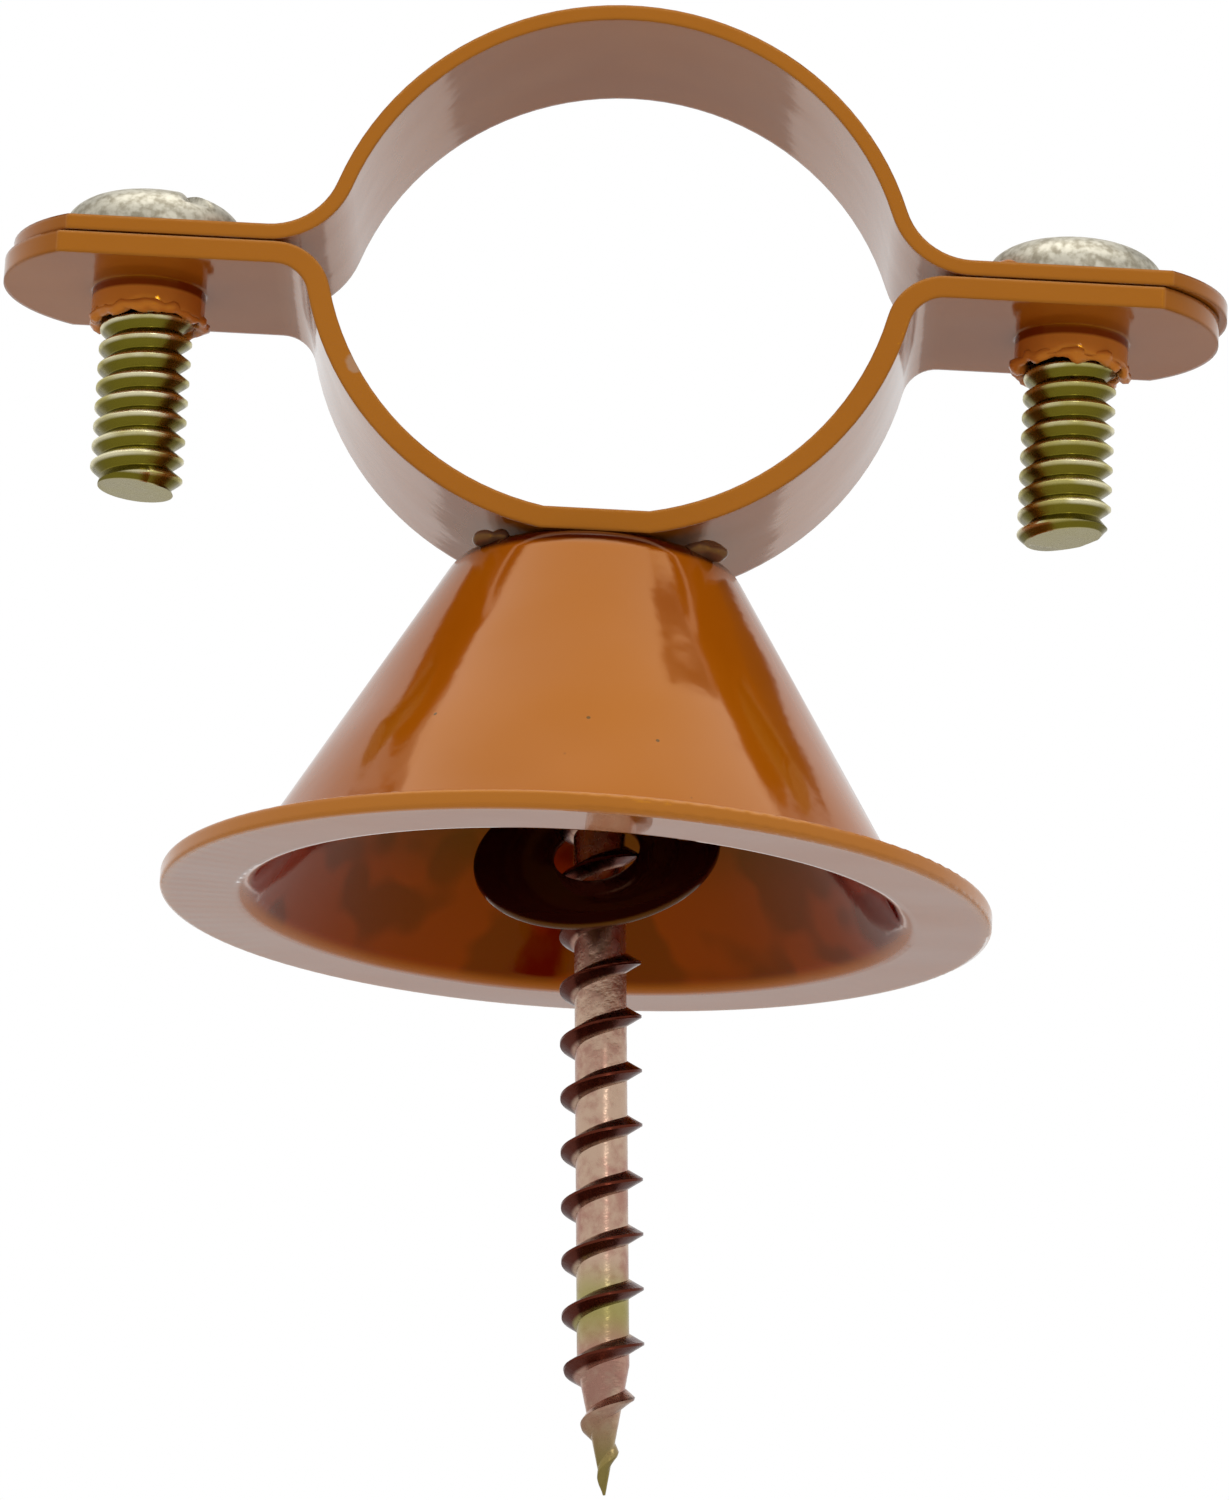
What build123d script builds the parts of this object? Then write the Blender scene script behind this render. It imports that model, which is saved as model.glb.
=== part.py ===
from build123d import *
import os
from math import atan2, degrees, radians, sqrt, tan

# Bell hanger for one-inch copper tube, in millimetres.
# The wall plane is z = 0, the bell stands on it, the clamp is above and its ears lie along X.

# Bell, pressed from one sheet
flange_diameter = 42.5
mouth_radius = 16.8
cone_half_angle = 30.5
bell_height = 18.65
bell_sheet = 1.0
mouth_bend = 1.3
shoulder_bend = 1.2
rim_break = 0.25

# Clamp straps, two bent strips of one width
strap_width = 12.4
lower_sheet = 1.15
upper_sheet = 0.8
tube_radius = 14.73
seat_flat = 5.4
parting_height = 14.6
upper_bow_drop = 1.8
lower_bend = 3.0
upper_bend = 4.5
ear_gap = 0.12
ear_round = 7.6
upper_shift = 0.4

# Machine screws and the tapped collars that take them
screw_spacing = 48.0
machine_major = 4.83
machine_length = 13.3
head_diameter = 9.5
head_height = 3.5
head_rim = 0.7
slot_width = 1.3
slot_depth = 1.5
slot_turn_left = 35.0
slot_turn_right = 80.0
point_chamfer = 0.5
collar_wall = 0.5
collar_height = 1.6
thread_clearance = 0.04
ear_hole_play = 0.55
seating_gap = 0.02

# Wood screw, which leans in its loose hole, and the washer that retains it
wood_length = 50.0
wood_major = 4.17
wood_root = 2.65
wood_shank = 3.3
wood_pitch = 2.82
wood_thread_length = 36.0
wood_point = 6.6
crest_width = 0.14
flank_half_angle = 30.0
flank_steps = 6
point_scale = 0.05
run_out_step = 0.06
wood_head_diameter = 8.3
wood_head_angle = 82.0
wood_head_rim = 0.3
wood_head_rise = 0.25
wood_hole_play = 0.4
cross_width = 1.1
cross_reach = 4.6
cross_depth = 1.5
lean_angle = 3.6
washer_diameter = 13.1
washer_sheet = 0.35
washer_drop = 16.0
washer_tilt = 50.0
washer_turn = 12.0
washer_play = 0.12

# Heights and places that follow from the sizes above
seat_z = bell_height + lower_sheet
lower_centre_z = seat_z + sqrt(tube_radius**2 - (seat_flat / 2) ** 2)
parting_z = bell_height + parting_height
upper_centre_z = parting_z - upper_bow_drop
lower_ear_z = parting_z - ear_gap / 2
upper_ear_z = parting_z + ear_gap / 2
screw_x = screw_spacing / 2
beyond = 2 * flange_diameter


def bell():
    """Cone with a flat flange and a closed top, revolved from the section of its sheet."""
    lean = tan(radians(cone_half_angle))
    inner_top_radius = mouth_radius - (bell_height - bell_sheet) * lean
    flare = radians(90 - cone_half_angle) / 2
    # how far a corner moves along the flat when the sheet's other face is drawn
    corner_shift = bell_sheet * tan(flare)
    flange_radius = flange_diameter / 2
    section = make_face(
        FilletPolyline(
            (0, bell_height - bell_sheet),
            (inner_top_radius, bell_height - bell_sheet),
            (mouth_radius, 0),
            (flange_radius, 0),
            (flange_radius, bell_sheet),
            (mouth_radius + corner_shift, bell_sheet),
            (inner_top_radius + corner_shift, bell_height),
            (0, bell_height),
            radius=[
                shoulder_bend,
                mouth_bend,
                rim_break,
                rim_break,
                max(mouth_bend - bell_sheet, rim_break),
                shoulder_bend + bell_sheet,
            ],
        )
        + Line((0, bell_height), (0, bell_height - bell_sheet))
    )
    shell = revolve(Plane.XZ * section, Axis.Z)
    return shell - wood_hole()


def strap_line(centre_z, radius, flat_half, bend, ear_z, ear_tip, rising):
    """Right half of one face of a strap: bow from the middle, bend, then the flat ear."""
    side = 1 if rising else -1
    bend_z = ear_z + side * bend
    bend_x = sqrt((radius + bend) ** 2 - (bend_z - centre_z) ** 2)
    joining = degrees(atan2(bend_z - centre_z, bend_x))
    middle = degrees(atan2(side * sqrt(radius**2 - flat_half**2), flat_half))
    bow = CenterArc((0, centre_z), radius, middle, joining - middle)
    corner = CenterArc((bend_x, bend_z), bend, joining + 180, side * 90 - joining)
    ear = Line((bend_x, ear_z), (ear_tip, ear_z))
    return bow + corner + ear


def strap(centre_z, bend, ear_z, sheet, rising, flat=0.0):
    """Bent strip: its section drawn face by face, extruded, and cut to the plan of its ears."""
    side = 1 if rising else -1
    ear_tip = screw_x + ear_round
    flat_z = sqrt(tube_radius**2 - (flat / 2) ** 2) + sheet if flat else 0.0
    outer_flat = sqrt((tube_radius + sheet) ** 2 - flat_z**2) if flat else 0.0
    near_face = strap_line(centre_z, tube_radius, flat / 2, bend, ear_z, ear_tip, rising)
    far_face = strap_line(
        centre_z, tube_radius + sheet, outer_flat, bend - sheet, ear_z + side * sheet, ear_tip, rising
    )
    near_middle = (0, (near_face @ 0).Y)
    far_middle = (0, (far_face @ 0).Y)
    outline = near_face + Line(near_face @ 1, far_face @ 1) + far_face
    outline += Line(near_middle, far_middle)
    if flat:
        outline += Line(near_middle, near_face @ 0)
        outline += Line(far_middle, far_face @ 0)
    half = make_face(outline)
    section = half + mirror(half, Plane.YZ)
    strip = extrude(Plane.XZ * section, strap_width / 2, both=True)
    ear_ends = Pos(screw_x, 0) * Circle(ear_round) + Pos(-screw_x, 0) * Circle(ear_round)
    plan = (Rectangle(screw_spacing, strap_width) + ear_ends) & Rectangle(2 * ear_tip, strap_width)
    return strip & extrude(plan, beyond)


def lower_strap():
    """Half ring welded to the bell, with a tapped collar pressed down from each ear."""
    body = strap(lower_centre_z, lower_bend, lower_ear_z, lower_sheet, False, seat_flat)
    bore = machine_major / 2 + thread_clearance
    depth = lower_sheet + collar_height
    for x in (-screw_x, screw_x):
        place = Pos(x, 0, lower_ear_z)
        body += place * Pos(0, 0, -depth / 2 - lower_sheet / 4) * Cylinder(
            bore + collar_wall, depth - lower_sheet / 2
        )
        body -= place * Cylinder(bore, 3 * depth)
    return body - wood_hole()


def upper_strap():
    """Thinner half ring with a plain hole in each ear, pushed sideways within its play."""
    body = Pos(upper_shift, 0, 0) * strap(upper_centre_z, upper_bend, upper_ear_z, upper_sheet, True)
    hole = machine_major / 2 + ear_hole_play
    for x in (-screw_x, screw_x):
        body -= Pos(x, 0, upper_ear_z) * Cylinder(hole, 4 * upper_sheet)
    return body


def machine_screw(slot_turn):
    """Round-head screw standing on z = 0 under its head, with a blunt end."""
    radius = head_diameter / 2
    dome = Spline((radius, head_rim), (0, head_height), tangents=[(0, 1), (-1, 0)])
    outline = Polyline(
        (0, head_height),
        (0, -machine_length),
        (machine_major / 2 - point_chamfer, -machine_length),
        (machine_major / 2, -machine_length + point_chamfer),
        (machine_major / 2, 0),
        (radius, 0),
        (radius, head_rim),
    )
    screw = revolve(Plane.XZ * make_face(outline + dome), Axis.Z)
    slot = Pos(0, 0, head_height) * Box(2 * head_diameter, slot_width, 2 * slot_depth)
    return screw - Rot(0, 0, slot_turn) * slot


def wood_head_depth():
    """Height of the countersunk cone, from the head's rim down to the shank."""
    return (wood_head_diameter - wood_shank) / 2 / tan(radians(wood_head_angle / 2))


def wood_hole():
    """Countersunk hole through seat and bell top, looser than the head by its play."""
    slope = tan(radians(wood_head_angle / 2))
    small = wood_shank / 2 + wood_hole_play
    bottom = seat_z + wood_head_rise - wood_head_rim - wood_head_depth()
    depth = seat_z + lower_sheet - bottom
    cone = Pos(0, 0, bottom + depth / 2) * Cone(small, small + depth * slope, depth)
    return cone + Pos(0, 0, bottom) * Cylinder(wood_major / 2 + wood_hole_play / 2, 2 * depth)


def thread_section(crest, root, turn):
    """Slice of the thread square to its axis: crest arc, flank, root arc, flank."""
    crest_turn = 360 * crest_width / wood_pitch
    flank_turn = 180 * (wood_major - wood_root) * tan(radians(flank_half_angle)) / wood_pitch
    root_turn = 360 - crest_turn - 2 * flank_turn
    steps = [step / flank_steps for step in range(flank_steps + 1)]
    flank = Spline([Vector(crest + (root - crest) * step, 0).rotate(Axis.Z, flank_turn * step) for step in steps])
    falling = Rot(0, 0, crest_turn / 2) * flank
    outline = CenterArc((0, 0), crest, -crest_turn / 2, crest_turn) + falling
    outline += CenterArc((0, 0), root, crest_turn / 2 + flank_turn, root_turn)
    return Rot(0, 0, turn) * make_face(outline + mirror(falling, Plane.XZ))


def thread_span(low, high, low_crest, low_root, high_crest, high_root):
    """Stretch of thread between two heights, its crest and root changing evenly."""
    slices = [
        Pos(0, 0, z) * thread_section(crest, root, 360 * z / wood_pitch)
        for z, crest, root in ((low, low_crest, low_root), (high, high_crest, high_root))
    ]
    guide = Pos(0, 0, low) * Rot(0, 0, 360 * low / wood_pitch) * Helix(wood_pitch, high - low, wood_major)
    return sweep(slices, path=Line((0, 0, low), (0, 0, high)), multisection=True, binormal=guide)


def wood_screw():
    """Coarse right-hand wood screw, head top at z = 0 and point down, then leaned."""
    shank = wood_shank / 2
    head = wood_head_diameter / 2
    crest = wood_major / 2
    root = wood_root / 2
    thread_top = wood_thread_length - wood_length
    run_out = thread_top - wood_pitch / 2
    taper_top = wood_point - wood_length
    profile = Polyline(
        (0, 0),
        (head, 0),
        (head, -wood_head_rim),
        (shank, -wood_head_rim - wood_head_depth()),
        (shank, thread_top),
        (0, thread_top),
        close=True,
    )
    screw = revolve(Plane.XZ * make_face(profile), Axis.Z)
    screw += thread_span(run_out, thread_top, crest, root, shank - run_out_step, shank - run_out_step)
    screw += thread_span(taper_top, run_out, crest, root, crest, root)
    screw += thread_span(
        -wood_length, taper_top, crest * point_scale, root * point_scale, crest, root
    )
    for turn in (0, 90):
        screw -= Rot(0, 0, turn) * Box(cross_reach, cross_width, 2 * cross_depth)
    return Pos(0, 0, seat_z + wood_head_rise) * Rot(0, -lean_angle, 0) * screw


def retaining_washer():
    """Thin washer hanging slanted on the wood screw, its hole worn wide by the thread."""
    disc = Cylinder(washer_diameter / 2, washer_sheet)
    hung = Rot(0, 0, washer_turn) * Rot(washer_tilt, 0, 0) * disc
    hole = Cylinder(wood_major / 2 + washer_play, 2 * washer_diameter)
    washer = Pos(0, 0, -washer_drop) * (hung - hole)
    return Pos(0, 0, seat_z) * Rot(0, -lean_angle, 0) * washer


parts = {
    "bell": bell(),
    "lower_strap": lower_strap(),
    "upper_strap": upper_strap(),
    "wood_screw": wood_screw(),
    "retaining_washer": retaining_washer(),
}
under_head_z = upper_ear_z + upper_sheet + seating_gap
parts["machine_screw_left"] = Pos(-screw_x, 0, under_head_z) * machine_screw(slot_turn_left)
parts["machine_screw_right"] = Pos(screw_x, 0, under_head_z) * machine_screw(slot_turn_right)

os.makedirs("parts", exist_ok=True)
for name, shape in parts.items():
    export_step(shape, f"parts/{name}.step")
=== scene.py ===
from math import cos, pi, radians, sin

import bmesh
import bpy
from mathutils import Matrix, Vector, noise


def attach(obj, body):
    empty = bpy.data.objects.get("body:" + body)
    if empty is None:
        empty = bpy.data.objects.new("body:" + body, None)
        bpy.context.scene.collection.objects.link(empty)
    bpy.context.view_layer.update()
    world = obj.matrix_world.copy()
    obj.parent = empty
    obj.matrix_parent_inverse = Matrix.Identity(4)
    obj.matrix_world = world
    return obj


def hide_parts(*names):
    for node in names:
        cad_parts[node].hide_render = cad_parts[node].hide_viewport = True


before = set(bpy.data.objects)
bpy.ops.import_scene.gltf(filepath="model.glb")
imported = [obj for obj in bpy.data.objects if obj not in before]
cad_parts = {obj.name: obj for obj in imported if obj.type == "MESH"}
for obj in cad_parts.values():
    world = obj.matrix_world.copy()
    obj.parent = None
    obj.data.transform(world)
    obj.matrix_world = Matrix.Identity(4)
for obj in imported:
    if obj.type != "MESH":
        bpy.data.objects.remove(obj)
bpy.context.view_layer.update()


# The view: a long lens a little below the hanger and turned a few degrees, so that the
# undersides of the ears and the open mouth of the bell are seen.

mm = 0.001
scene = bpy.context.scene
lens_data = bpy.data.cameras.new("camera")
camera = bpy.data.objects.new("camera", lens_data)
scene.collection.objects.link(camera)
scene.camera = camera
lens_data.sensor_fit = "VERTICAL"
lens_data.sensor_height = 36.0
lens_data.lens = 210.5
lens_data.clip_start = 0.01
lens_data.clip_end = 20.0
yaw, pitch, roll = radians(-1.012), radians(14.907), radians(-3.295)
ahead = Vector((sin(yaw) * cos(pitch), cos(yaw) * cos(pitch), sin(pitch)))
level = Vector((cos(yaw), -sin(yaw), 0))
above = level.cross(ahead)
right = cos(roll) * level - sin(roll) * above
up = sin(roll) * level + cos(roll) * above
turned = Matrix((right, up, -ahead)).transposed().to_4x4()
camera.matrix_world = Matrix.Translation(Vector((9.19, -434.5, -106.9)) * mm) @ turned


# The room: a white surround seen by the camera and by every gloss, one large lamp overhead,
# a pale floor far below, and two narrow dark cards that the bell's gloss shows as bands.

scene.view_settings.view_transform = "Standard"
surround_light = 0.60
surround_white = 1.0
gloss_share = 0.75
front_power = 0.14
lamp_power = 2.6
floor_drop = 125 * mm
floor_grey = (0.75, 0.75, 0.75, 1)
card_grey = (0.02, 0.02, 0.02, 1)


class Socket:
    """An output of a node. Arithmetic on it adds Math nodes to the same tree."""

    def __init__(self, maker, output):
        self.maker = maker
        self.output = output

    def __add__(self, other):
        return self.maker.math("ADD", self, other)

    def __radd__(self, other):
        return self.maker.math("ADD", other, self)

    def __sub__(self, other):
        return self.maker.math("SUBTRACT", self, other)

    def __rsub__(self, other):
        return self.maker.math("SUBTRACT", other, self)

    def __mul__(self, other):
        return self.maker.math("MULTIPLY", self, other)

    def __rmul__(self, other):
        return self.maker.math("MULTIPLY", other, self)

    def __abs__(self):
        return self.maker.math("ABSOLUTE", self)

    def out(self, key):
        return Socket(self.maker, self.output.node.outputs[key])


class NodeMaker:
    """Adds nodes to one tree: their settings first, then the values or links of their sockets."""

    def __init__(self, tree):
        self.tree = tree

    def node(self, kind, settings, sockets, out=0):
        made = self.tree.nodes.new(kind)
        stops = settings.pop("stops", ())
        for key, value in settings.items():
            setattr(made, key, value)
        for index, (position, colour) in enumerate(stops):
            ramp = made.color_ramp.elements
            stop = ramp[index] if index < 2 else ramp.new(position)
            stop.position = position
            stop.color = (*colour, 1)
        self.set(made, sockets)
        return Socket(self, made.outputs[out])

    def set(self, made, sockets):
        for key, value in sockets.items():
            if isinstance(value, Socket):
                self.tree.links.new(value.output, made.inputs[key])
            else:
                made.inputs[key].default_value = value

    def math(self, operation, first, second=0.0):
        return self.node("ShaderNodeMath", {"operation": operation}, {0: first, 1: second})

    def noise(self, place, size, detail=2.0, roughness=0.5):
        """Soft noise about 0.5 whose lumps are about size metres across."""
        sockets = {"Vector": place, "Scale": 0.5 / size, "Detail": detail, "Roughness": roughness}
        return self.node("ShaderNodeTexNoise", {}, sockets)

    def step(self, value, low, high):
        """0 below low, 1 above high, smooth between."""
        sockets = {"Value": value, "From Min": low, "From Max": high}
        return self.node("ShaderNodeMapRange", {"interpolation_type": "SMOOTHSTEP"}, sockets)

    def mix(self, factor, first, second):
        """Colour first where factor is 0, second where it is 1."""
        colours = [c if isinstance(c, Socket) else (*c, 1) for c in (first, second)]
        return self.node("ShaderNodeMix", {"data_type": "RGBA"}, {0: factor, 6: colours[0], 7: colours[1]}, 2)

    def bump(self, height, depth, under=None):
        """Normal of a relief whose height of 0 to 1 stands for depth metres."""
        sockets = {"Height": height, "Distance": depth}
        if under:
            sockets["Normal"] = under
        return self.node("ShaderNodeBump", {}, sockets)


world = bpy.data.worlds.new("surround")
scene.world = world
world.use_nodes = True
surround = NodeMaker(world.node_tree)
ray = surround.node("ShaderNodeLightPath", {}, {})
seen = surround.math("MAXIMUM", ray.out("Is Camera Ray"), ray.out("Is Glossy Ray") * gloss_share)
strength = surround_light + seen * (surround_white - surround_light)
surround.set(world.node_tree.nodes["Background"], {"Color": (1, 1, 1, 1), "Strength": strength})

lamp_data = bpy.data.lights.new("overhead", "AREA")
lamp_data.shape = "RECTANGLE"
lamp_data.size = 0.92
lamp_data.size_y = 0.56
lamp_data.energy = lamp_power
lamp = bpy.data.objects.new("overhead", lamp_data)
scene.collection.objects.link(lamp)
lamp.location = (0.02, -0.09, 0.6)
lamp.rotation_euler = (Vector((0, 0, 0.02)) - lamp.location).to_track_quat("-Z", "Y").to_euler()


front_data = bpy.data.lights.new("front", "AREA")
front_data.shape = "DISK"
front_data.size = 0.05
front_data.energy = front_power
front = bpy.data.objects.new("front", front_data)
scene.collection.objects.link(front)
front.location = (0.13, -0.41, 0.17)
front.rotation_euler = (Vector((0, 0, 0.02)) - front.location).to_track_quat("-Z", "Y").to_euler()


def piece(name, bm, smooth_angle=None):
    """Object of a finished bmesh, linked to the scene, with sharp edges above the angle."""
    mesh = bpy.data.meshes.new(name)
    for face in bm.faces:
        face.smooth = smooth_angle is not None
    bm.to_mesh(mesh)
    bm.free()
    if smooth_angle is not None:
        mesh.set_sharp_from_angle(angle=smooth_angle)
    made = bpy.data.objects.new(name, mesh)
    scene.collection.objects.link(made)
    return made


def plain(name, colour):
    """Matt material of one colour, for what stands round the object."""
    material = bpy.data.materials.new(name)
    material.use_nodes = True
    shader = material.node_tree.nodes["Principled BSDF"]
    NodeMaker(material.node_tree).set(shader, {"Base Color": colour, "Roughness": 1.0})
    return material


bm = bmesh.new()
bmesh.ops.create_grid(bm, x_segments=1, y_segments=1, size=1.5)
bmesh.ops.translate(bm, vec=(0, 0, -floor_drop), verts=bm.verts)
floor = piece("floor", bm)
floor.data.materials.append(plain("floor_paper", floor_grey))
card_height = 360 * mm
card_corners = (
    ((-256, 75), (-304, 220), (-215, 262), (-175, 55)),
    ((125, -29), (148, -29), (224, 49), (280, 160), (300, 285), (286, 342), (252, 486), (215, 486)),
)
for corners in card_corners:
    bm = bmesh.new()
    bmesh.ops.contextual_create(bm, geom=[bm.verts.new((x * mm, y * mm, card_height)) for x, y in corners])
    card = piece("dark_card", bm)
    card.data.materials.append(plain("dark_paper", card_grey))


# The bell: a cone pressed from one sheet of steel with a flat flange and a closed top, dipped in
# copper-coloured gloss paint that dried in soft waves, with a few specks in it.

bell_deep = (0.345, 0.078, 0.0008)
bell_light = (0.375, 0.090, 0.001)
# Painted shade: the inside of the cone is coloured darker and redder than the outside, since less light reaches it.
inside_shade_deep = (0.13, 0.002, 0.0002)
inside_shade_light = (0.24, 0.014, 0.0004)
# Painted shade, near-black red, for the top of the cone's inside and for the bell's shoulder under the strap.
crevice_shade = (0.040, 0.0015, 0.0005)
# Painted sheen: a pale colour laid in ripples on the flange's underside.
flange_sheen = (0.44, 0.31, 0.24)
# Painted highlight along the flange's outer rim.
rim_highlight = (0.48, 0.165, 0.030)
ripples = 110.0
mouth_radius = 16.8 * mm
cone_slope = 0.589
wall_half = 0.58 * mm
speck_colour = (0.05, 0.015, 0.004)
gloss_tint = (1.0, 0.45, 0.0, 1)
gloss_level = 0.72
clear_coat = 0.06
paint_roughness = 0.07
wave_size = 5.0 * mm
peel_size = 0.9 * mm
speck_size = 2.2 * mm
edge_radius = 0.30 * mm
sheared_colour = (0.47, 0.165, 0.026)


def copper_paint(name, deep, light, wave_depth, tone=None, sheared=None):
    """Gloss paint over steel, rounding its edges. tone changes the colour by place and gives the
    share of clear coat, and a strap is sheared at that distance from its middle."""
    material = bpy.data.materials.new(name)
    material.use_nodes = True
    maker = NodeMaker(material.node_tree)
    shader = material.node_tree.nodes["Principled BSDF"]
    place = maker.node("ShaderNodeTexCoord", {}, {}, "Object")
    cloud = maker.noise(place, 9 * mm, 3)
    waves = maker.noise(place, wave_size, 1)
    peel = maker.noise(place, peel_size, 2)
    specks = maker.node("ShaderNodeTexVoronoi", {}, {"Vector": place, "Scale": 1 / speck_size})
    rare = maker.noise(place, 3 * mm, 0)
    speck = (1 - maker.step(specks, 0.035, 0.06)) * maker.step(rare, 0.60, 0.64)
    colour = maker.mix(maker.step(cloud, 0.35, 0.65), deep, light)
    coat = clear_coat
    if tone:
        colour, coat = tone(maker, place, colour)
    soft = maker.node("ShaderNodeBevel", {"samples": 6}, {"Radius": edge_radius})
    relief = maker.bump(waves, wave_depth, soft)
    relief = maker.bump(peel, 0.012 * mm, relief)
    rough = paint_roughness + 0.04 * peel
    if sheared:
        across = maker.node("ShaderNodeSeparateXYZ", {}, {"Vector": place}, "Y")
        cut = maker.step(abs(across), sheared - 0.12 * mm, sheared - 0.04 * mm)
        torn = maker.noise(place, 0.45 * mm, 3, 0.6)
        relief = maker.bump(torn * cut, 0.02 * mm, relief)
        colour = maker.mix(cut * 0.6, colour, sheared_colour)
    colour = maker.mix(speck, colour, speck_colour)
    maker.set(
        shader,
        {
            "Base Color": colour,
            "Roughness": rough,
            "Normal": relief,
            "Coat Weight": coat,
            "Specular IOR Level": gloss_level,
            "Specular Tint": gloss_tint,
        },
    )
    return material


def bell_tone(maker, place, colour):
    """Painted shade inside the cone, darker and redder, going near-black towards its top, and painted shade on the
    shoulder under the strap; a painted highlight on the flange's rim, and a painted pale sheen in ripples on the left
    of the flange's underside, which gets clear coat.
    """
    flat = maker.node("ShaderNodeVectorMath", {"operation": "MULTIPLY"}, {0: place, 1: (1, 1, 0)})
    radius = maker.node("ShaderNodeVectorMath", {"operation": "LENGTH"}, {0: flat}, "Value")
    height = maker.node("ShaderNodeSeparateXYZ", {}, {"Vector": place}, "Z")
    middle = mouth_radius + wall_half - cone_slope * height
    inside = maker.step(middle - radius, 0.0, 0.1 * mm) * maker.step(height, 0.05 * mm, 0.6 * mm)
    ragged = maker.noise(place, 3.5 * mm, 2, 0.6)
    # Painted shade: darker, redder colour inside the cone, going near-black towards its top.
    inner = maker.mix(maker.step(ragged, 0.46, 0.54), inside_shade_deep, inside_shade_light)
    inner = maker.mix(maker.step(height, 4 * mm, 9 * mm), inner, crevice_shade)
    colour = maker.mix(inside, colour, inner)
    # Painted shade on the bell's shoulder, under the strap.
    shoulder_shade = maker.step(height + 0.5 * mm * ragged, 17.75 * mm, 18.2 * mm)
    colour = maker.mix(shoulder_shade, colour, crevice_shade)
    across = maker.node("ShaderNodeSeparateXYZ", {}, {"Vector": place}, "X")
    along = maker.node("ShaderNodeSeparateXYZ", {}, {"Vector": place}, "Y")
    # Painted sheen: pale ripples on the left of the flange's underside.
    underside = (1 - maker.step(height, 0.02 * mm, 0.08 * mm)) * maker.step(radius, 16.5 * mm, 17.5 * mm)
    bent = maker.math("ARCTAN2", along, across) + 6.0 * ragged * mm
    sheen_ripples = maker.math("SINE", ripples * bent) * 0.5 + 0.5
    left = 1 - maker.step(across, -18 * mm, -13 * mm)
    # Painted highlight on the flange's rim.
    colour = maker.mix(maker.step(radius, 20.5 * mm, 21.2 * mm), colour, rim_highlight)
    return maker.mix(underside * left * sheen_ripples * 0.30, colour, flange_sheen), clear_coat + underside * (1 - clear_coat)


bell_paint = copper_paint("bell_paint", bell_deep, bell_light, 0.45 * mm, bell_tone)
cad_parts["bell"].material_slots[0].material = bell_paint


# The lower strap: a bent strip of steel welded to the bell's top, with a tapped collar pressed
# down from each ear, painted with the bell.

strap_deep = (0.30, 0.078, 0.004)
strap_light = (0.36, 0.110, 0.010)
strap_half = 6.2 * mm
bare_steel = (0.42, 0.38, 0.33)
nick_place = Vector((-12.76, -6.2, 26.9)) * mm
collar_x = 24.0 * mm
collar_root = 32.02 * mm
# Painted light on the collars: a painted highlight towards the foot, painted shade at the root under the ear.
collar_highlight = (0.56, 0.175, 0.025)
collar_root_shade = (0.17, 0.022, 0.002)


def nick_and_collar_light(maker, place, colour):
    """A nick in the paint of the lower strap's edge, down to the steel, and painted light on the collars: a painted
    highlight towards the foot and painted shade at the root under the ear.
    """
    away = maker.node("ShaderNodeVectorMath", {"operation": "DISTANCE"}, {0: place, 1: nick_place}, "Value")
    ragged = maker.noise(place, 0.4 * mm, 2)
    bare = 1 - maker.step(away + 0.6 * mm * ragged, 0.65 * mm, 0.85 * mm)
    colour = maker.mix(bare, colour, bare_steel)
    across = maker.node("ShaderNodeSeparateXYZ", {}, {"Vector": place}, "X")
    height = maker.node("ShaderNodeSeparateXYZ", {}, {"Vector": place}, "Z")
    on_collar = 1 - maker.step(height, collar_root - 0.05 * mm, collar_root)
    on_collar = on_collar * maker.step(abs(across), collar_x - 3.3 * mm, collar_x - 3.1 * mm)
    # Painted highlight low on the collar, painted shade at its root under the ear.
    collar = maker.mix(maker.step(height, collar_root - 0.6 * mm, collar_root - 0.4 * mm), collar_highlight, collar_root_shade)
    return maker.mix(on_collar, colour, collar), clear_coat


strap_paint = copper_paint("strap_paint", strap_deep, strap_light, 0.16 * mm, nick_and_collar_light, strap_half)
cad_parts["lower_strap"].material_slots[0].material = strap_paint
collar_foot = 30.44 * mm
burr_ring = 2.80 * mm
burr_thick = 0.28 * mm
burr_rough = 0.45 * mm
weld_lumps = (((-5.3, -4.6, 18.4), (0.85, 0.6, 0.5)), ((5.6, -4.5, 18.35), (1.2, 0.6, 0.5)))
weld_grey = (0.12, 0.055, 0.030)


def roughen(bm, size, depth):
    """Pushes every point along its normal by noise, as where paint has run and dried."""
    bm.normal_update()
    for vert in bm.verts:
        vert.co += vert.normal * depth * noise.noise(vert.co / size)


for side in (-1, 1):
    bm = bmesh.new()
    bmesh.ops.create_circle(bm, segments=10, radius=burr_thick)
    bmesh.ops.rotate(bm, matrix=Matrix.Rotation(pi / 2, 3, "X"), verts=bm.verts)
    bmesh.ops.translate(bm, vec=(burr_ring, 0, 0), verts=bm.verts)
    ring = bm.verts[:] + bm.edges[:]
    bmesh.ops.spin(bm, geom=ring, axis=(0, 0, 1), angle=2 * pi, steps=72, use_merge=True)
    bmesh.ops.remove_doubles(bm, verts=bm.verts, dist=0.002 * mm)
    bmesh.ops.recalc_face_normals(bm, faces=bm.faces)
    bmesh.ops.translate(bm, vec=(side * collar_x, 0, collar_foot), verts=bm.verts)
    roughen(bm, 0.7 * mm, burr_rough)
    burr = piece("collar_burr", bm, pi)
    burr.data.materials.append(strap_paint)
    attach(burr, "hanger_base")
weld_paint = copper_paint("weld_paint", weld_grey, weld_grey, 0.1 * mm)
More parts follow.
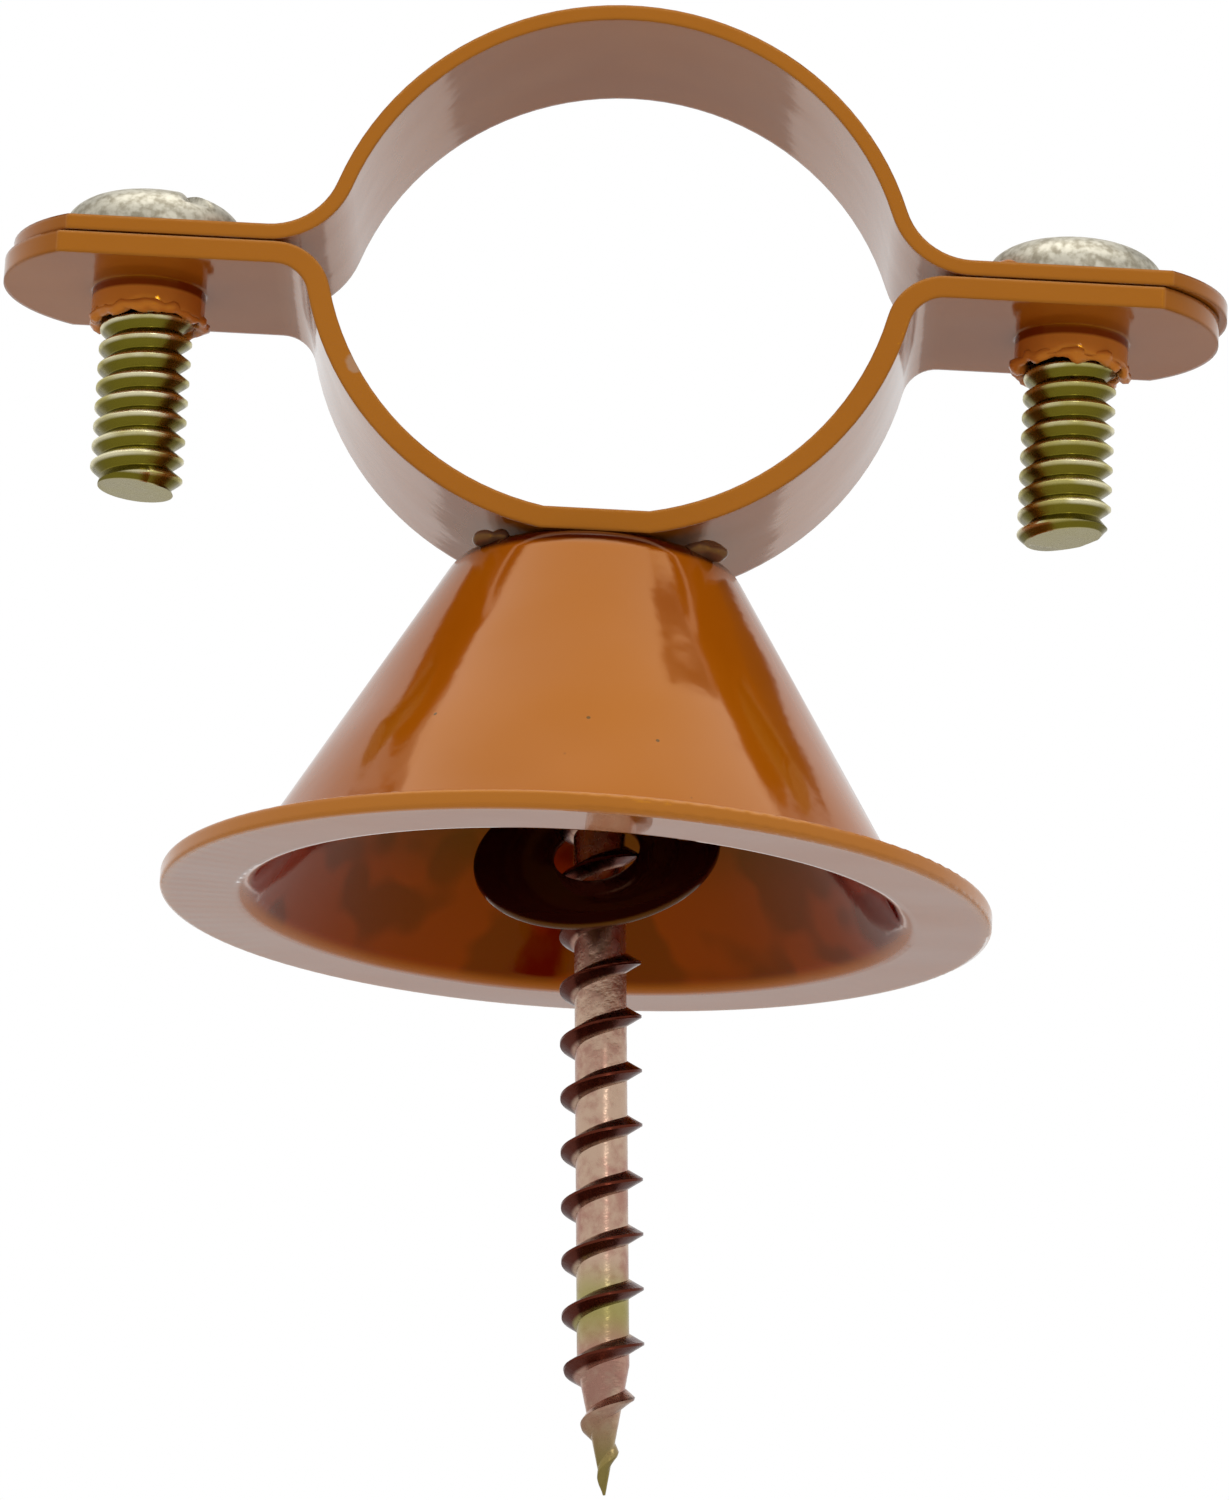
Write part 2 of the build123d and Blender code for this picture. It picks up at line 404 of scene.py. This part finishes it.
for middle, radii in weld_lumps:
    bm = bmesh.new()
    bmesh.ops.create_icosphere(bm, subdivisions=4, radius=1)
    bmesh.ops.scale(bm, vec=Vector(radii) * mm, verts=bm.verts)
    bmesh.ops.translate(bm, vec=Vector(middle) * mm, verts=bm.verts)
    roughen(bm, 0.8 * mm, 0.3 * mm)
    lump = piece("weld_lump", bm, pi)
    lump.data.materials.append(weld_paint)
    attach(lump, "hanger_base")


# The upper strap: a thinner bent strip with a plain hole in each ear, held by the two screws and
# painted as the lower one.

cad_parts["upper_strap"].material_slots[0].material = strap_paint
bm = bmesh.new()
bmesh.ops.create_icosphere(bm, subdivisions=4, radius=1)
bmesh.ops.scale(bm, vec=Vector((0.9, 0.7, 0.32)) * mm, verts=bm.verts)
bmesh.ops.translate(bm, vec=Vector((20.2, -5.2, 34.1)) * mm, verts=bm.verts)
roughen(bm, 0.6 * mm, 0.15 * mm)
run = piece("paint_run", bm, pi)
run.data.materials.append(strap_paint)
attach(run, "clamp_top")


# The machine screws: round slotted heads and coarse rolled threads with blunt ends, of steel
# plated with zinc that shines yellow and olive on the threads and silver on the heads.

screw_x = 24.0 * mm
under_head = 34.13 * mm
head_keep = 0.82
thread_pitch = 1.058 * mm
thread_crest = 4.83 * mm / 2
thread_root = 3.75 * mm / 2
thread_end = -12.85 * mm
thread_turns = 13
steps_a_turn = 48
end_chamfer = 0.45 * mm
end_slope = {"machine_screw_left": -4, "machine_screw_right": 9}
zinc_light = (0.82, 0.76, 0.50)
zinc_olive = (0.50, 0.44, 0.15)
# Painted shade for the thread's grooves, which leaves the crests bright.
zinc_groove_shade = (0.17, 0.140, 0.014)
end_tan = (0.50, 0.44, 0.30)
head_turn = {"machine_screw_left": 90, "machine_screw_right": -72}
head_silver = (0.52, 0.49, 0.40)
head_shade = (0.30, 0.27, 0.20)


def machine_screw(name, x):
    """The CAD screw's own head, and below it a real thread instead of the plain shank."""
    bm = bmesh.new()
    bm.from_mesh(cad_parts[name].data)
    bmesh.ops.remove_doubles(bm, verts=bm.verts, dist=0.002 * mm)
    bmesh.ops.translate(bm, vec=(-x, 0, -under_head), verts=bm.verts)
    whole = bm.verts[:] + bm.edges[:] + bm.faces[:]
    bmesh.ops.bisect_plane(bm, geom=whole, plane_co=(0, 0, -0.3 * mm), plane_no=(0, 0, -1), clear_outer=True)
    bmesh.ops.rotate(bm, matrix=Matrix.Rotation(radians(head_turn[name]), 3, "Z"), verts=bm.verts)
    bmesh.ops.scale(bm, vec=(1, 1, head_keep), verts=[vert for vert in bm.verts if vert.co.z > 0])
    thread = bmesh.new()
    flank = [(thread_root, 0), (thread_crest, 0.40), (thread_crest, 0.50), (thread_root, 0.90), (thread_root, 1)]
    points = [thread.verts.new((r, 0, thread_pitch * z)) for r, z in flank]
    edges = [thread.edges.new(pair) for pair in zip(points, points[1:])]
    turns = thread_turns + 1
    bmesh.ops.spin(
        thread,
        geom=points + edges,
        cent=(0, 0, 0),
        axis=(0, 0, 1),
        dvec=(0, 0, thread_pitch / steps_a_turn),
        angle=2 * pi * turns,
        steps=steps_a_turn * turns,
    )
    bmesh.ops.remove_doubles(thread, verts=thread.verts, dist=0.004 * mm)
    bmesh.ops.translate(thread, vec=(0, 0, -thread_pitch * turns), verts=thread.verts)
    slope = radians(end_slope[name])
    cuts = (((0, 0, -0.1 * mm), (0, 0, 1)), ((0, 0, thread_end), (sin(slope), 0, -cos(slope))))
    for point, outwards in cuts:
        whole = thread.verts[:] + thread.edges[:] + thread.faces[:]
        bmesh.ops.bisect_plane(thread, geom=whole, plane_co=point, plane_no=outwards, clear_outer=True)
        rim = [edge for edge in thread.edges if edge.is_boundary]
        rim = [e for e in rim if all(abs((v.co - Vector(point)).dot(Vector(outwards))) < 0.001 * mm for v in e.verts)]
        bmesh.ops.holes_fill(thread, edges=rim, sides=0)
    for vert in thread.verts:
        height = vert.co.z - (thread_end - vert.co.x * sin(slope) / cos(slope) * -1)
        limit = thread_crest - end_chamfer + max(height, 0)
        radius = (vert.co.x**2 + vert.co.y**2) ** 0.5
        if radius > limit and height < end_chamfer:
            vert.co.x *= limit / radius
            vert.co.y *= limit / radius
    bmesh.ops.recalc_face_normals(thread, faces=thread.faces)
    shaft = bpy.data.meshes.new(name + "_shaft")
    thread.to_mesh(shaft)
    thread.free()
    bm.from_mesh(shaft)
    bmesh.ops.translate(bm, vec=(x, 0, under_head), verts=bm.verts)
    return piece(name + "_threaded", bm, radians(28))


def zinc_plate(name, x):
    """Bright zinc: silver on the head, yellow and olive on the thread, with painted shade darkening its grooves."""
    material = bpy.data.materials.new(name + "_zinc")
    material.use_nodes = True
    maker = NodeMaker(material.node_tree)
    shader = material.node_tree.nodes["Principled BSDF"]
    place = maker.node("ShaderNodeTexCoord", {}, {}, "Object")
    centred = maker.node("ShaderNodeVectorMath", {"operation": "SUBTRACT"}, {0: place, 1: (x, 0, under_head)})
    flat = maker.node("ShaderNodeVectorMath", {"operation": "MULTIPLY"}, {0: centred, 1: (1, 1, 0)})
    radius = maker.node("ShaderNodeVectorMath", {"operation": "LENGTH"}, {0: flat}, "Value")
    height = maker.node("ShaderNodeSeparateXYZ", {}, {"Vector": centred}, "Z")
    stain = maker.noise(place, 1.6 * mm, 3)
    grain = maker.noise(place, 0.22 * mm, 3)
    across = maker.node("ShaderNodeSeparateXYZ", {}, {"Vector": centred}, "X")
    slope = radians(end_slope[name])
    on_end = 1 - maker.step(height - across * (sin(slope) / cos(slope)), thread_end + 0.02 * mm, thread_end + 0.06 * mm)
    on_head = maker.step(height, -0.1 * mm, 0.0)
    # Painted shade: the thread is darkened towards its root, in the grooves.
    depth = 1 - maker.step(radius, thread_crest - 0.20 * mm, thread_crest - 0.02 * mm)
    thread = maker.mix(maker.step(stain, 0.42, 0.62), zinc_light, zinc_olive)
    thread = maker.mix(depth, thread, zinc_groove_shade)
    thread = maker.mix(on_end, thread, maker.mix(stain, end_tan, zinc_olive))
    head = maker.mix(maker.step(grain, 0.35, 0.7), head_silver, head_shade)
    rough = 0.18 + 0.2 * grain + 0.2 * on_head
    maker.set(
        shader,
        {
            "Base Color": maker.mix(on_head, thread, head),
            "Metallic": 1.0,
            "Roughness": rough,
            "Normal": maker.bump(grain, 0.012 * mm),
        },
    )
    return material


for name, x, body in (
    ("machine_screw_left", -screw_x, "left_screw"),
    ("machine_screw_right", screw_x, "right_screw"),
):
    screw = machine_screw(name, x)
    screw.data.materials.append(zinc_plate(name, x))
    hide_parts(name)
    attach(screw, body)


# The wood screw: steel with a coarse sharp thread, plated with zinc that has gone pinkish tan on
# the core, and green and yellow in patches near the point; the thread's faces get painted shade, dark red-brown.

core_tan = (0.53, 0.37, 0.27)
core_pink = (0.40, 0.21, 0.16)
patina_green = (0.33, 0.31, 0.09)
point_olive = (0.26, 0.20, 0.06)
# Painted shade, dark red-brown, for the faces of the thread.
thread_shade_brown = (0.10, 0.022, 0.012)
wood_head_place = Vector((0, 0, 20.05 * mm))
wood_lean = radians(3.6)
wood_root = 2.65 * mm / 2
wood_crest = 4.17 * mm / 2
patina_height = -40.7 * mm
material = bpy.data.materials.new("wood_screw_zinc")
material.use_nodes = True
maker = NodeMaker(material.node_tree)
place = maker.node("ShaderNodeTexCoord", {}, {}, "Object")
centred = maker.node("ShaderNodeVectorMath", {"operation": "SUBTRACT"}, {0: place, 1: wood_head_place})
straight = maker.node(
    "ShaderNodeVectorRotate", {"rotation_type": "Y_AXIS"}, {"Vector": centred, "Angle": wood_lean}
)
flat = maker.node("ShaderNodeVectorMath", {"operation": "MULTIPLY"}, {0: straight, 1: (1, 1, 0)})
radius = maker.node("ShaderNodeVectorMath", {"operation": "LENGTH"}, {0: flat}, "Value")
height = maker.node("ShaderNodeSeparateXYZ", {}, {"Vector": straight}, "Z")
stain = maker.noise(place, 2.4 * mm, 3)
grain = maker.noise(place, 0.25 * mm, 3)
# Painted shade on the thread's faces below the bell.
on_thread = maker.step(radius, wood_root + 0.06 * mm, wood_root + 0.30 * mm)
on_thread = on_thread * (1 - maker.step(height, -14.5 * mm, -14 * mm))
core = maker.mix(maker.step(stain + 0.5 * grain, 0.58, 0.88), core_tan, core_pink)
green = 1 - maker.step(abs(height - patina_height) + 2.0 * mm * stain, 1.2 * mm, 3.6 * mm)
core = maker.mix(0.8 * green, core, patina_green)
core = maker.mix(1 - maker.step(height, -49 * mm, -45 * mm), core, point_olive)
maker.set(
    material.node_tree.nodes["Principled BSDF"],
    {
        "Base Color": maker.mix(on_thread, core, thread_shade_brown),
        "Metallic": 1.0,
        "Roughness": 0.14 + 0.24 * grain,
        "Normal": maker.bump(grain, 0.025 * mm),
    },
)
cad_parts["wood_screw"].material_slots[0].material = material


# The retaining washer: a thin loose disc on the wood screw, tipped towards the back of the bell,
# of the same paint, coloured near-black as painted shade for where it lies deep inside the bell.

washer_middle = Vector((0.95, 0.1, 3.1)) * mm
washer_radius = 6.36 * mm
washer_hole = 2.2 * mm
washer_hole_long = 2.5 * mm
washer_sheet = 0.35 * mm
washer_tilt = radians(50)
washer_turn = radians(-12)
# Painted shade: the washer's paint is coloured near-black, as it lies deep inside the bell.
washer_shade_deep = (0.030, 0.0035, 0.002)
washer_shade_light = (0.045, 0.006, 0.003)
bm = bmesh.new()
outer = bmesh.ops.create_circle(bm, segments=128, radius=washer_radius)["verts"]
inner = bmesh.ops.create_circle(bm, segments=128, radius=washer_hole)["verts"]
bmesh.ops.scale(bm, vec=(1, washer_hole_long / washer_hole, 1), verts=inner)
bmesh.ops.bridge_loops(bm, edges=bm.edges)
bmesh.ops.recalc_face_normals(bm, faces=bm.faces)
bmesh.ops.solidify(bm, geom=bm.faces[:], thickness=washer_sheet)
rims = [edge for edge in bm.edges if edge.is_manifold and edge.calc_face_angle() > radians(60)]
bmesh.ops.bevel(bm, geom=rims, offset=0.08 * mm, affect="EDGES", segments=2, profile=0.5, material=-1)
tipped = Matrix.Rotation(washer_turn, 4, "Z") @ Matrix.Rotation(washer_tilt, 4, "X")
bmesh.ops.transform(bm, matrix=Matrix.Translation(washer_middle) @ tipped, verts=bm.verts)
washer = piece("dark_washer", bm, radians(30))
washer.data.materials.append(copper_paint("washer_shade_paint", washer_shade_deep, washer_shade_light, 0.2 * mm))
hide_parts("retaining_washer")
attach(washer, "wall_fixing")
